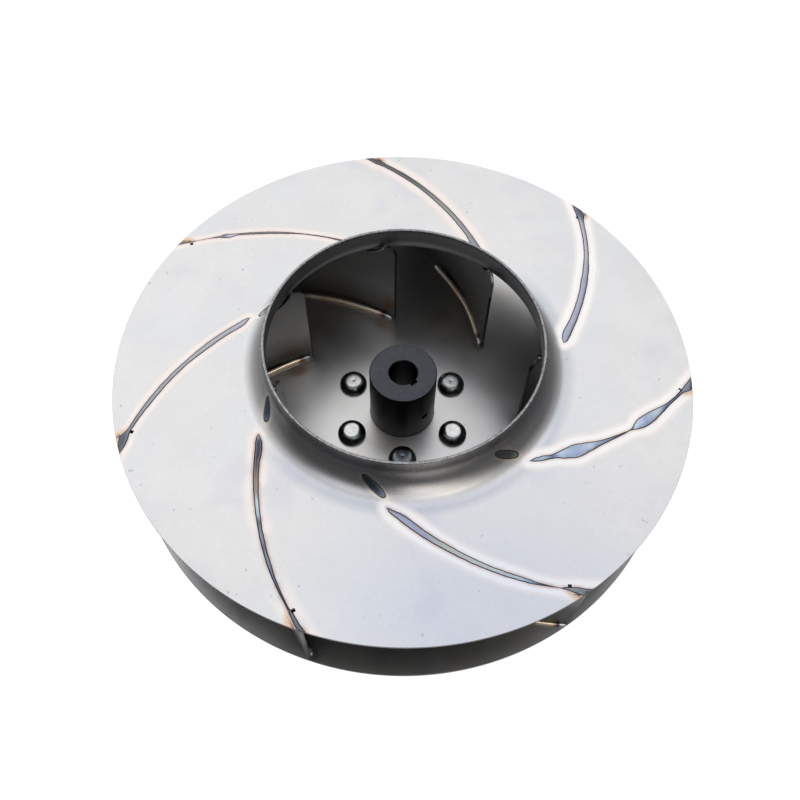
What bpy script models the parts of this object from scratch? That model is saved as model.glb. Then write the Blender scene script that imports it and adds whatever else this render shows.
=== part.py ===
"""Centrifugal fan impeller: seven backward-curved blades between a flared front shroud and
a flat back plate, stitch welded, and riveted to a keyed steel hub.

Units are metres, with +Z pointing out of the inlet. The origin is the centre of the hub
flange's rear face, on the axis of the bore.
"""

import math

import bmesh
import bpy
from mathutils import Matrix, Vector

# Wheel
WHEEL_RADIUS = 0.200
BLADE_COUNT = 7
CLEAR_WIDTH = 0.068  # between the back plate and the shroud
SEAT_GAP = 0.0003  # between two solids that touch

# Hub: a flange behind the back plate, and a boss that stands through it
FLANGE_RADIUS = 0.060
FLANGE_THICKNESS = 0.008
BOSS_RADIUS = 0.0245
HUB_LENGTH = 0.0628
HUB_CHAMFER = 0.0008
BORE_RADIUS = 0.010
KEY_WIDTH = 0.006
KEY_DEPTH = 0.0028  # into the wall of the bore
KEY_ANGLE = math.radians(-48)

# Set screw over the key
SCREW_HEIGHT = 0.0322
SCREW_HOLE_RADIUS = 0.003
SCREW_LENGTH = 0.009
SCREW_RECESS = 0.0006  # below the side of the boss
SOCKET_ACROSS_FLATS = 0.003
SOCKET_DEPTH = 0.003

# Rivets
RIVET_COUNT = 6
RIVET_CIRCLE_RADIUS = 0.044
RIVET_FIRST_ANGLE = math.radians(31.3)
RIVET_SHANK_RADIUS = 0.006
RIVET_HEAD_RADIUS = 0.0105
RIVET_HEAD_HEIGHT = 0.0065
RIVET_HEAD_EDGE = 0.001
RIVET_FLAT_RADIUS = 0.005
COUNTERSINK_DEPTH = 0.003

# Back plate
BACK_PLATE_THICKNESS = 0.0025
BACK_PLATE_BOTTOM = FLANGE_THICKNESS + SEAT_GAP
BACK_PLATE_TOP = BACK_PLATE_BOTTOM + BACK_PLATE_THICKNESS

# Front shroud: a flat ring, a fillet and a short collar round the inlet
SHROUD_THICKNESS = 0.002
SHROUD_BOTTOM = BACK_PLATE_TOP + CLEAR_WIDTH
SHROUD_TOP = SHROUD_BOTTOM + SHROUD_THICKNESS
THROAT_RADIUS = 0.094
COLLAR_RISE = 0.0272  # from the flat ring to the rim of the collar
FILLET_OUTSIDE = 0.018
FILLET_UNDERSIDE = FILLET_OUTSIDE + SHROUD_THICKNESS
FILLET_CENTRE_RADIUS = THROAT_RADIUS + FILLET_UNDERSIDE
FILLET_CENTRE_HEIGHT = SHROUD_TOP + FILLET_OUTSIDE

# Blades: upright sheets whose mid-line is an arc, given for the first blade
BLADE_THICKNESS = 0.002
BLADE_ARC_CENTRE = Vector((0.1157, 0.0100))
BLADE_ARC_RADIUS = 0.173
BLADE_NOSE_RADIUS_ON_WHEEL = 0.0873
BLADE_TAIL_RADIUS_ON_WHEEL = 0.1990
BLADE_NOSE_TOP = SHROUD_TOP + 0.013
BLADE_NOSE_ROUNDING = 0.006
BLADE_STEP = 2 * math.pi / BLADE_COUNT

# Locating notches through the shroud, beside the tails of the blades
NOTCH_WIDTH = 0.003
NOTCH_RADIUS_ON_WHEEL = 0.1925
NOTCH_OFFSET = 0.002  # from the mid-line, towards the hollow side

# Weld beads
TOP_BEAD_HALF_WIDTH = 0.0024
TOP_BEAD_FLATNESS = 0.2
TOP_BEAD_ENDS = (0.1148, 0.1985)
THROAT_BEAD_RADIUS = 0.0014
THROAT_BEAD_ANGLES = (math.radians(206), math.radians(247))  # round the fillet's centre
FOOT_BEAD_RADIUS = 0.0019
NOSE_FOOT_BEAD_ENDS = (0.0885, 0.1410)
TAIL_FOOT_BEAD_ENDS = (0.1850, 0.1985)

# Resolution
WHEEL_STEPS = 84  # a multiple of the blade count and of four
HUB_STEPS = 48
RIVET_STEPS = 20
HOLE_STEPS = 20
FILLET_STEPS = 6
MERGE_DISTANCE = 0.00005
CUT_MARGIN = 0.002  # how far a cutter runs past what it cuts


def clear_scene():
    for item in list(bpy.data.objects):
        bpy.data.objects.remove(item, do_unlink=True)


def new_collection(name):
    collection = bpy.data.collections.new(name)
    bpy.context.scene.collection.children.link(collection)
    return collection


def metal(name, colour, roughness):
    material = bpy.data.materials.new(name)
    material.use_nodes = True
    shader = material.node_tree.nodes["Principled BSDF"]
    shader.inputs["Base Color"].default_value = (*colour, 1.0)
    shader.inputs["Metallic"].default_value = 1.0
    shader.inputs["Roughness"].default_value = roughness
    material.diffuse_color = (*colour, 1.0)
    return material


def add_object(name, data, collection, material=None):
    item = bpy.data.objects.new(name, data)
    collection.objects.link(item)
    if material:
        data.materials.clear()
        data.materials.append(material)
    return item


def add_cutter(name, mesh, collection):
    cutter = add_object(name, mesh, collection)
    cutter.hide_render = True
    cutter.display_type = "WIRE"
    return cutter


def cut_away(item, collection):
    """Subtract every cutter of a collection from a solid."""
    cut = item.modifiers.new(collection.name, "BOOLEAN")
    cut.operation = "DIFFERENCE"
    cut.solver = "EXACT"
    cut.operand_type = "COLLECTION"
    cut.collection = collection


def add_screw(item, steps):
    turn = item.modifiers.new("turn", "SCREW")
    turn.axis = "Z"
    turn.angle = 2 * math.pi
    turn.steps = steps
    turn.render_steps = steps
    turn.use_merge_vertices = True
    turn.merge_threshold = MERGE_DISTANCE
    turn.use_smooth_shade = True


def outline_mesh(name, outline, closed):
    """A chain of (radius, height) points, which runs down its outer side."""
    mesh = bpy.data.meshes.new(name)
    edges = [(i, i + 1) for i in range(len(outline) - 1)]
    if closed:
        edges.append((len(outline) - 1, 0))
    mesh.from_pydata([(radius, 0, height) for radius, height in outline], edges, [])
    return mesh


def round_mesh(name, radius, length, steps, matrix):
    """A cylinder about its own Z axis, standing on its origin and then moved by matrix."""
    shape = bmesh.new()
    bmesh.ops.create_cone(
        shape,
        cap_ends=True,
        segments=steps,
        radius1=radius,
        radius2=radius,
        depth=length,
        matrix=matrix @ Matrix.Translation((0, 0, length / 2)),
    )
    mesh = bpy.data.meshes.new(name)
    shape.to_mesh(mesh)
    shape.free()
    return mesh


def block_mesh(name, low, high, matrix):
    """A box between two corners, then moved by matrix."""
    middle = (Vector(low) + Vector(high)) / 2
    size = Vector(high) - Vector(low)
    shape = bmesh.new()
    bmesh.ops.create_cube(
        shape,
        size=1,
        matrix=matrix @ Matrix.Translation(middle) @ Matrix.Diagonal((*size, 1)),
    )
    mesh = bpy.data.meshes.new(name)
    shape.to_mesh(mesh)
    shape.free()
    return mesh


def arc_points(centre, radius, start, end, steps):
    """Points (radius, height) along an arc of a turned outline."""
    points = []
    for i in range(steps + 1):
        angle = start + (end - start) * i / steps
        points.append((centre[0] + radius * math.cos(angle), centre[1] + radius * math.sin(angle)))
    return points


def blade_arc_angle(radius_on_wheel):
    """Angle about the blade arc's centre where the mid-line meets a circle about the axis."""
    distance = BLADE_ARC_CENTRE.length
    squares = distance**2 + BLADE_ARC_RADIUS**2 - radius_on_wheel**2
    away = math.acos(squares / (2 * distance * BLADE_ARC_RADIUS))
    return math.atan2(-BLADE_ARC_CENTRE.y, -BLADE_ARC_CENTRE.x) + away


def blade_arc_point(angle, height, offset=0.0):
    """A point of the first blade's arc, offset away from the arc's centre."""
    radius = BLADE_ARC_RADIUS + offset
    return Vector(
        (
            BLADE_ARC_CENTRE.x + radius * math.cos(angle),
            BLADE_ARC_CENTRE.y + radius * math.sin(angle),
            height,
        )
    )


def spread(start, end, count):
    """Evenly spaced values from start to end."""
    return [start + (end - start) * i / (count - 1) for i in range(count)]


def key_frame(height):
    """A frame at a height on the axis, with its Z axis pointing out over the key."""
    on_axis = Matrix.Translation((0, 0, height))
    over_key = Matrix.Rotation(KEY_ANGLE, 4, "Z") @ Matrix.Rotation(math.pi / 2, 4, "Y")
    return on_axis @ over_key


def rivet_hole_outline():
    """A clearance hole for a rivet, countersunk at 45 degrees from the rear face."""
    hole = RIVET_SHANK_RADIUS + SEAT_GAP
    cone_gap = SEAT_GAP * math.sqrt(2)
    mouth = RIVET_SHANK_RADIUS + COUNTERSINK_DEPTH + cone_gap
    return [
        (0, BACK_PLATE_TOP + CUT_MARGIN),
        (hole, BACK_PLATE_TOP + CUT_MARGIN),
        (hole, COUNTERSINK_DEPTH + cone_gap - SEAT_GAP),
        (mouth + CUT_MARGIN, -CUT_MARGIN),
        (0, -CUT_MARGIN),
    ]


def rivet_outline():
    """A domed head with a flattened top, a shank, and a closing head flush with the flange."""
    seat = BACK_PLATE_TOP + SEAT_GAP
    dome_base = seat + RIVET_HEAD_EDGE
    dome_height = RIVET_HEAD_HEIGHT - RIVET_HEAD_EDGE
    dome = []
    for angle in spread(0, math.pi / 2, 5):
        radius = RIVET_FLAT_RADIUS + (RIVET_HEAD_RADIUS - RIVET_FLAT_RADIUS) * math.sin(angle)
        dome.append((radius, dome_base + dome_height * math.cos(angle)))
    closing_radius = RIVET_SHANK_RADIUS + COUNTERSINK_DEPTH - SEAT_GAP
    return [
        (0, seat + RIVET_HEAD_HEIGHT),
        *dome,
        (RIVET_HEAD_RADIUS, seat),
        (RIVET_SHANK_RADIUS, seat),
        (RIVET_SHANK_RADIUS, COUNTERSINK_DEPTH),
        (closing_radius, SEAT_GAP),
        (0, SEAT_GAP),
    ]


def rivet_places():
    """The centres of the rivets on their circle."""
    places = []
    for i in range(RIVET_COUNT):
        angle = RIVET_FIRST_ANGLE + 2 * math.pi * i / RIVET_COUNT
        places.append(Vector((math.cos(angle), math.sin(angle), 0)) * RIVET_CIRCLE_RADIUS)
    return places


def make_rivet_holes(collection):
    mesh = outline_mesh("rivet_hole", rivet_hole_outline(), closed=False)
    for number, place in enumerate(rivet_places(), start=1):
        cutter = add_cutter(f"rivet_hole_{number}", mesh, collection)
        add_screw(cutter, RIVET_STEPS)
        cutter.location = place


def make_hub_cutters(collection):
    """The keyway along the bore, and the hole of the set screw that bears on the key."""
    along_key = Matrix.Rotation(KEY_ANGLE, 4, "Z")
    keyway = block_mesh(
        "keyway",
        (0, -KEY_WIDTH / 2, -CUT_MARGIN),
        (BORE_RADIUS + KEY_DEPTH, KEY_WIDTH / 2, HUB_LENGTH + CUT_MARGIN),
        along_key,
    )
    add_cutter("keyway", keyway, collection)
    hole = round_mesh(
        "set_screw_hole",
        SCREW_HOLE_RADIUS,
        BOSS_RADIUS + CUT_MARGIN,
        HOLE_STEPS,
        key_frame(SCREW_HEIGHT),
    )
    add_cutter("set_screw_hole", hole, collection)


def make_hub(collection, cutters, rivet_holes):
    outline = [
        (BORE_RADIUS + HUB_CHAMFER, HUB_LENGTH),
        (BOSS_RADIUS - HUB_CHAMFER, HUB_LENGTH),
        (BOSS_RADIUS, HUB_LENGTH - HUB_CHAMFER),
        (BOSS_RADIUS, FLANGE_THICKNESS),
        (FLANGE_RADIUS - HUB_CHAMFER, FLANGE_THICKNESS),
        (FLANGE_RADIUS, FLANGE_THICKNESS - HUB_CHAMFER),
        (FLANGE_RADIUS, HUB_CHAMFER),
        (FLANGE_RADIUS - HUB_CHAMFER, 0),
        (BORE_RADIUS + HUB_CHAMFER, 0),
        (BORE_RADIUS, HUB_CHAMFER),
        (BORE_RADIUS, HUB_LENGTH - HUB_CHAMFER),
    ]
    material = metal("blackened_steel", (0.035, 0.038, 0.045), 0.42)
    hub = add_object("hub", outline_mesh("hub", outline, closed=True), collection, material)
    add_screw(hub, HUB_STEPS)
    cut_away(hub, cutters)
    cut_away(hub, rivet_holes)


def make_set_screw(collection, cutters):
    screw_end = BOSS_RADIUS - SCREW_RECESS
    frame = key_frame(SCREW_HEIGHT)
    body = round_mesh(
        "set_screw",
        SCREW_HOLE_RADIUS - SEAT_GAP,
        SCREW_LENGTH,
        HOLE_STEPS,
        frame @ Matrix.Translation((0, 0, screw_end - SCREW_LENGTH)),
    )
    socket = round_mesh(
        "set_screw_socket",
        SOCKET_ACROSS_FLATS / math.sqrt(3),
        SOCKET_DEPTH + CUT_MARGIN,
        6,
        frame @ Matrix.Translation((0, 0, screw_end - SOCKET_DEPTH)),
    )
    add_cutter("set_screw_socket", socket, cutters)
    material = metal("screw_steel", (0.05, 0.05, 0.055), 0.35)
    screw = add_object("set_screw", body, collection, material)
    cut_away(screw, cutters)


def make_rivets(collection):
    mesh = outline_mesh("hub_rivet", rivet_outline(), closed=False)
    material = metal("rivet_steel", (0.55, 0.56, 0.56), 0.22)
    for number, place in enumerate(rivet_places(), start=1):
        rivet = add_object(f"hub_rivet_{number}", mesh, collection, material)
        add_screw(rivet, RIVET_STEPS)
        rivet.location = place


def make_back_plate(collection, rivet_holes):
    hole_radius = BOSS_RADIUS + SEAT_GAP
    outline = [
        (hole_radius, BACK_PLATE_TOP),
        (WHEEL_RADIUS, BACK_PLATE_TOP),
        (WHEEL_RADIUS, BACK_PLATE_BOTTOM),
        (hole_radius, BACK_PLATE_BOTTOM),
    ]
    material = metal("plate_steel", (0.60, 0.61, 0.62), 0.38)
    mesh = outline_mesh("back_plate", outline, closed=True)
    plate = add_object("back_plate", mesh, collection, material)
    add_screw(plate, WHEEL_STEPS)
    cut_away(plate, rivet_holes)


def make_notches(collection):
    """A square hole beside the tail of each blade."""
    angle = blade_arc_angle(NOTCH_RADIUS_ON_WHEEL)
    place = blade_arc_point(angle, 0, -NOTCH_OFFSET)
    square = block_mesh(
        "locating_notch",
        (-NOTCH_WIDTH / 2, -NOTCH_WIDTH / 2, SHROUD_BOTTOM - CUT_MARGIN),
        (NOTCH_WIDTH / 2, NOTCH_WIDTH / 2, SHROUD_TOP + CUT_MARGIN),
        Matrix.Translation(place) @ Matrix.Rotation(angle, 4, "Z"),
    )
    for k in range(BLADE_COUNT):
        cutter = add_cutter(f"locating_notch_{k + 1}", square, collection)
        cutter.rotation_euler.z = k * BLADE_STEP


def make_front_shroud(collection, notches):
    centre = (FILLET_CENTRE_RADIUS, FILLET_CENTRE_HEIGHT)
    collar_top = SHROUD_TOP + COLLAR_RISE
    down, out = math.pi, 1.5 * math.pi
    outline = [
        (THROAT_RADIUS + SHROUD_THICKNESS, collar_top),
        *arc_points(centre, FILLET_OUTSIDE, down, out, FILLET_STEPS),
        (WHEEL_RADIUS, SHROUD_TOP),
        (WHEEL_RADIUS, SHROUD_BOTTOM),
        *arc_points(centre, FILLET_UNDERSIDE, out, down, FILLET_STEPS),
        (THROAT_RADIUS, collar_top),
    ]
    material = metal("shroud_steel", (0.66, 0.67, 0.68), 0.38)
    mesh = outline_mesh("front_shroud", outline, closed=True)
    shroud = add_object("front_shroud", mesh, collection, material)
    add_screw(shroud, WHEEL_STEPS)
    cut_away(shroud, notches)


def blade_top(radius_on_wheel):
    """Height of a blade's top edge: level at its nose, then under the fillet and the ring."""
    clear = FILLET_UNDERSIDE + SEAT_GAP
    reach = max(0, FILLET_CENTRE_RADIUS - radius_on_wheel - BLADE_THICKNESS / 2)
    drop = math.sqrt(max(0, clear**2 - reach**2))
    return min(BLADE_NOSE_TOP, FILLET_CENTRE_HEIGHT - drop)


def blade_stations():
    """Angles along the blade arc: close together where the top edge bends."""
    nose = blade_arc_angle(BLADE_NOSE_RADIUS_ON_WHEEL)
    stations = []
    for turn in spread(0, math.pi / 2, 5):
        stations.append(nose + BLADE_NOSE_ROUNDING * (1 - math.cos(turn)) / BLADE_ARC_RADIUS)
    clear = FILLET_UNDERSIDE + SEAT_GAP
    first = math.asin((FILLET_CENTRE_HEIGHT - BLADE_NOSE_TOP) / clear)
    for turn in spread(first, math.pi / 2, 7):
        radius = FILLET_CENTRE_RADIUS - BLADE_THICKNESS / 2 - clear * math.cos(turn)
        stations.append(blade_arc_angle(radius))
    tail = blade_arc_angle(BLADE_TAIL_RADIUS_ON_WHEEL)
    stations.extend(spread(stations[-1], tail, 12)[1:])
    return stations


def blade_mesh():
    """A flat grid, two rows high, bent onto the blade's arc."""
    stations = blade_stations()
    last = len(stations) - 1
    shape = bmesh.new()
    bmesh.ops.create_grid(shape, x_segments=last, y_segments=1, size=0.5)
    for vertex in shape.verts:
        angle = stations[round((vertex.co.x + 0.5) * last)]
        from_nose = (angle - stations[0]) * BLADE_ARC_RADIUS
        height = BACK_PLATE_TOP + SEAT_GAP
        if vertex.co.y > 0:
            height = blade_top(blade_arc_point(angle, 0).length)
            short = max(0, BLADE_NOSE_ROUNDING - from_nose)
            height -= BLADE_NOSE_ROUNDING - math.sqrt(BLADE_NOSE_ROUNDING**2 - short**2)
        vertex.co = blade_arc_point(angle, height)
    for face in shape.faces:
        face.smooth = True
    mesh = bpy.data.meshes.new("blade")
    shape.to_mesh(mesh)
    shape.free()
    return mesh


def make_blades(collection):
    mesh = blade_mesh()
    material = metal("blade_steel", (0.50, 0.50, 0.50), 0.40)
    for k in range(BLADE_COUNT):
        blade = add_object(f"blade_{k + 1}", mesh, collection, material)
        blade.rotation_euler.z = k * BLADE_STEP
        sheet = blade.modifiers.new("sheet", "SOLIDIFY")
        sheet.thickness = BLADE_THICKNESS
        sheet.offset = 0
        sheet.use_even_offset = True


def bead_curve(name, points, radius):
    """A weld bead along points, narrowed at both ends."""
    curve = bpy.data.curves.new(name, "CURVE")
    curve.dimensions = "3D"
    curve.bevel_depth = radius
    curve.bevel_resolution = 1
    curve.use_fill_caps = True
    spline = curve.splines.new("POLY")
    spline.points.add(len(points) - 1)
    for i, (target, point) in enumerate(zip(spline.points, points)):
        target.co = (*point, 1)
        target.radius = 0.5 if i in (0, len(points) - 1) else 1.0
    return curve


def make_beads(name, curve, collection, material, height=0.0, flatness=1.0):
    """One bead a blade."""
    for k in range(BLADE_COUNT):
        bead = add_object(f"{name}_{k + 1}", curve, collection, material)
        bead.rotation_euler.z = k * BLADE_STEP
        bead.location.z = height
        bead.scale.z = flatness


def make_welds(collection):
    top_material = metal("weld_blue_grey", (0.28, 0.33, 0.40), 0.35)
    ends = [blade_arc_angle(radius) for radius in TOP_BEAD_ENDS]
    points = [blade_arc_point(angle, 0) for angle in spread(*ends, 12)]
    half_height = TOP_BEAD_HALF_WIDTH * TOP_BEAD_FLATNESS
    curve = bead_curve("shroud_weld", points, TOP_BEAD_HALF_WIDTH)
    seat = SHROUD_TOP + SEAT_GAP + half_height
    make_beads("shroud_weld", curve, collection, top_material, seat, TOP_BEAD_FLATNESS)

    points = []
    above_fillet = FILLET_OUTSIDE - SEAT_GAP - THROAT_BEAD_RADIUS
    for turn in spread(*THROAT_BEAD_ANGLES, 6):
        radius = FILLET_CENTRE_RADIUS + above_fillet * math.cos(turn)
        height = FILLET_CENTRE_HEIGHT + above_fillet * math.sin(turn)
        points.append(blade_arc_point(blade_arc_angle(radius), height))
    curve = bead_curve("throat_weld", points, THROAT_BEAD_RADIUS)
    make_beads("throat_weld", curve, collection, top_material)

    foot_material = metal("weld_straw", (0.55, 0.40, 0.26), 0.35)
    offset = -(BLADE_THICKNESS / 2 + SEAT_GAP + FOOT_BEAD_RADIUS)
    height = BACK_PLATE_TOP + SEAT_GAP + FOOT_BEAD_RADIUS
    feet = {"nose_foot_weld": (NOSE_FOOT_BEAD_ENDS, 8), "tail_foot_weld": (TAIL_FOOT_BEAD_ENDS, 4)}
    for name, (radii, count) in feet.items():
        ends = [blade_arc_angle(radius) for radius in radii]
        points = [blade_arc_point(angle, height, offset) for angle in spread(*ends, count)]
        curve = bead_curve(name, points, FOOT_BEAD_RADIUS)
        make_beads(name, curve, collection, foot_material)


def main():
    clear_scene()
    impeller = new_collection("centrifugal_fan_impeller")
    rivet_holes = new_collection("rivet_hole_cutters")
    hub_cutters = new_collection("hub_cutters")
    socket_cutters = new_collection("socket_cutters")
    notches = new_collection("notch_cutters")

    make_rivet_holes(rivet_holes)
    make_hub_cutters(hub_cutters)
    make_notches(notches)
    make_hub(impeller, hub_cutters, rivet_holes)
    make_set_screw(impeller, socket_cutters)
    make_back_plate(impeller, rivet_holes)
    make_rivets(impeller)
    make_front_shroud(impeller, notches)
    make_blades(impeller)
    make_welds(impeller)


main()
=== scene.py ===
"""Looks of the centrifugal fan impeller: sheet steel, turned steel, rivets and heat-tinted welds."""

import math

import bmesh
import bpy
import numpy as np
from mathutils import Matrix, Vector

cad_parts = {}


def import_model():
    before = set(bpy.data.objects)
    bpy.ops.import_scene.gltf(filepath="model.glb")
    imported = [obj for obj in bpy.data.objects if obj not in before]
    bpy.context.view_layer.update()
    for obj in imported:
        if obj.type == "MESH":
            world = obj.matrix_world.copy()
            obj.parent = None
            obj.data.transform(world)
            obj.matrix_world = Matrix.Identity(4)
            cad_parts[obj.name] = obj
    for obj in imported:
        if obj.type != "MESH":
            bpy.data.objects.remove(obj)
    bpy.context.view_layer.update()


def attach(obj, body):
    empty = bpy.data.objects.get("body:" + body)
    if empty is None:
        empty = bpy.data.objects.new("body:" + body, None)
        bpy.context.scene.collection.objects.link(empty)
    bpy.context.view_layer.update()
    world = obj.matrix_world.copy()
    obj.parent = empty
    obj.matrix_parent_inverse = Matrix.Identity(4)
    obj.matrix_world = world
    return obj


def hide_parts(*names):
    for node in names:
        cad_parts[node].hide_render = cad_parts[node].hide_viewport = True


TURN = 2 * math.pi
BLADES = 7
STEP = TURN / BLADES
SKY = 1.8  # light of the sky that the flat ring reflects
FAR = 60.0  # mm to a weld, where there is none near

# Heights and radii of the wheel, in metres
RIM = 0.200
SHEET = 0.002
PLATE = (0.0083, 0.0108)
DECK = 0.0808
UNDERSIDE = DECK - SHEET
COLLAR_TOP = 0.108
THROAT = 0.094
FILLET = (0.114, 0.0988)
FILLET_OUTSIDE = 0.018
BOSS = 0.0245
FLANGE = (0.060, 0.008)
HUB_TOP = 0.0628
BORE = 0.010
KEY_ANGLE = math.radians(-48)
SCREW_HEIGHT = 0.0322
RIVET_CIRCLE = 0.044
RIVET_TURN = math.radians(31.3)

# A blade's mid-line is an arc; lengths along it start where it passes 112 mm from the axis
ARC_CENTRE = (0.1157, 0.0100)
ARC_RADIUS = 0.173
BLADE_ENDS = (0.0873, 0.1990)

# Outline of the weld over each blade: mm along the arc, outer edge and inner edge from the mid-line
SEAMS = (
    (
        (0, 2.0, 2.0), (3, 3.2, 0.9), (8, 2.9, -1.2), (13, 2.7, -2.3), (20, 2.3, -2.4),
        (30, 1.9, -2.4), (45, 1.2, -2.6), (60, 0.9, -2.5), (80, 0.9, -2.0), (95, 1.1, -1.7),
        (105, 0.9, -0.4), (112, 0.7, -0.1), (118, 0.65, 0.15), (122, 1.2, -0.4), (127, 2.7, -1.0),
        (132, 4.2, -0.4), (140, 5.0, -0.2),
    ),
    (
        (0, 2.5, 2.5), (4, 3.3, 0.8), (10, 3.2, -0.3), (15, 2.7, 0.0), (18, 2.7, -0.8),
        (24, 4.2, -2.5), (30, 5.4, -3.9), (34, 5.3, -4.2), (40, 3.9, -3.3), (48, 2.2, -1.8),
        (55, 1.5, -1.0), (62, 1.1, -0.6), (70, 0.9, 0.1), (75, 0.9, 0.2), (78, 2.5, -1.8),
        (83, 3.8, -3.6), (88, 3.9, -3.8), (94, 3.4, -3.5), (100, 2.5, -2.3), (106, 1.7, -1.1),
        (112, 1.4, -0.5), (120, 1.5, -0.4), (124, 1.8, -0.4), (127, 4.2, -0.4), (130, 4.6, -0.8),
        (140, 5.2, -0.8),
    ),
    (
        (0.5, 2.6, 2.6), (1.5, 3.9, 1.4), (5, 4.2, -0.8), (10, 3.8, -2.1), (20, 3.1, -2.0),
        (30, 2.7, -2.1), (45, 2.25, -2.4), (60, 2.0, -2.75), (75, 1.8, -2.4), (85, 1.6, -1.9),
        (100, 1.7, -1.6), (115, 1.8, -1.6), (122, 2.5, -1.7), (127, 4.6, -1.9), (132, 2.7, -2.2),
        (140, 1.5, -2.0),
    ),
    (
        (2.5, 2.2, 2.2), (6, 3.4, -0.5), (10, 3.0, -1.9), (20, 2.4, -1.6), (40, 1.8, -2.2),
        (60, 1.3, -2.6), (80, 1.4, -2.4), (100, 1.75, -2.2), (120, 1.75, -1.75),
        (127, 3.2, -2.4), (132, 2.0, -1.75), (140, 1.0, -1.0),
    ),
    (
        (6, 1.7, 1.7), (8, 2.3, 0.8), (12, 2.0, 0.7), (20, 1.7, 0.9), (40, 1.2, 0.4),
        (60, 1.2, -0.8), (75, 1.0, -1.0), (88, 1.0, -0.6), (91, 1.1, -0.8), (95, 1.7, -2.4),
        (99, 1.75, -1.8), (103, 0.8, -0.6), (110, 0.75, 0.2), (120, 0.8, 0.3), (128, 2.6, 1.2),
        (132, 3.1, 1.5), (140, 3.2, 1.8),
    ),
    (
        (3, 2.7, 2.7), (6, 3.5, 1.0), (10, 3.3, -1.1), (15, 2.8, -1.5), (20, 2.5, -1.3),
        (30, 2.3, -1.7), (45, 1.8, -2.25), (60, 1.2, -1.9), (80, 1.0, -2.1), (95, 1.0, -2.25),
        (110, 1.1, -1.7), (120, 1.0, -1.25), (124, 1.8, -1.4), (128, 4.3, -2.3), (132, 2.5, -2.7),
        (140, -0.6, -1.7),
    ),
    (
        (-1, 3.0, 3.0), (0, 4.1, 2.25), (5, 3.9, -0.5), (10, 3.3, -1.3), (15, 3.0, -1.5),
        (20, 2.7, -1.1), (30, 2.25, -1.3), (45, 1.4, -1.5), (60, 1.0, -1.7), (75, 1.0, -1.7),
        (90, 1.0, -1.5), (105, 0.8, -0.9), (115, 0.6, -0.7), (120, 0.5, -0.5), (125, 1.25, -1.2),
        (130, 1.9, -0.9), (140, 2.3, -1.0),
    ),
)
SEAM_SHIFT = (-0.2, 0.0, 0.2, 0.1, -0.5, -0.5, -0.25)  # mm that each whole weld lies outside those edges
SEAM_END = 138.5

# Heat tint along each weld: mm along the arc, then the colour as it is seen
TINTS = (
    (
        (0, 150, 155, 190), (30, 150, 155, 185), (42, 170, 175, 170), (60, 172, 178, 172),
        (80, 182, 190, 192), (95, 160, 182, 195), (102, 120, 165, 195), (110, 50, 70, 120),
        (118, 60, 30, 60), (124, 118, 124, 132), (140, 120, 125, 132),
    ),
    (
        (0, 130, 160, 185), (10, 160, 180, 190), (16, 50, 80, 130), (22, 170, 190, 215),
        (32, 150, 165, 200), (44, 175, 190, 212), (56, 90, 120, 170), (64, 40, 60, 110),
        (72, 70, 40, 60), (76, 60, 60, 90), (80, 185, 205, 225), (90, 150, 165, 200),
        (102, 180, 200, 215), (109, 60, 90, 145), (118, 40, 60, 110), (123, 60, 60, 80),
        (128, 112, 126, 146), (140, 122, 132, 148),
    ),
    (
        (0, 155, 165, 190), (20, 160, 165, 190), (60, 158, 160, 188), (85, 175, 178, 190),
        (110, 178, 180, 188), (120, 160, 168, 182), (126, 95, 104, 128), (133, 88, 96, 118),
        (140, 110, 116, 130),
    ),
    (
        (0, 135, 144, 162), (12, 140, 146, 162), (40, 146, 148, 144), (60, 138, 142, 136),
        (85, 100, 102, 98), (95, 88, 90, 87), (110, 88, 90, 88), (122, 84, 84, 86),
        (140, 80, 82, 86),
    ),
    (
        (0, 110, 120, 155), (12, 120, 120, 140), (20, 160, 140, 125), (50, 130, 115, 110),
        (80, 120, 105, 100), (89, 120, 110, 115), (93, 170, 190, 205), (98, 170, 185, 200),
        (102, 90, 105, 150), (108, 190, 160, 130), (120, 220, 190, 160), (128, 120, 110, 115),
        (140, 130, 120, 125),
    ),
    (
        (0, 170, 174, 190), (15, 168, 172, 186), (28, 166, 167, 174), (60, 160, 164, 168),
        (90, 148, 156, 164), (108, 125, 138, 155), (120, 104, 118, 138), (128, 92, 98, 110),
        (140, 88, 92, 104),
    ),
    (
        (0, 150, 155, 170), (4, 70, 72, 95), (12, 60, 62, 85), (22, 85, 78, 85),
        (32, 140, 115, 100), (42, 150, 140, 125), (48, 180, 210, 220), (56, 160, 195, 215),
        (62, 70, 75, 95), (72, 100, 125, 150), (80, 60, 70, 90), (88, 90, 115, 150),
        (98, 50, 60, 110), (108, 40, 50, 120), (116, 45, 45, 110), (121, 60, 58, 92),
        (128, 66, 80, 110), (140, 82, 84, 96),
    ),
)
TINT_END = 137.0  # mm of the table above that fall on a weld's end

# The sheet round each weld. The first value is for places with no weld near.
HALO_NARROWING = (1.0, 1.0, 1.0, 1.0, 1.0, 1.5, 1.5, 1.0)
SHEET_LOOKS = {
    "patchy": (0.0, 0.0, 0.0, 0.0, 0.0, 0.0, 0.0, 1.0),
    "scorched": (0.0, 0.6, 0.35, 0.0, 0.0, 0.2, 0.3, 1.0),
    "cream": (0.0, 0.0, 0.0, 0.0, 1.0, 1.0, 1.0, 1.0),
}

# Notch beside each blade's tail: mm from the axis along the blade, and mm from its mid-line
NOTCHES = (
    (192.2, -1.4), (192.2, -1.2), (192.9, -1.4), (194.4, -0.9), (192.9, -1.5), (191.5, -2.7), (191.9, -2.35),
)

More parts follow.
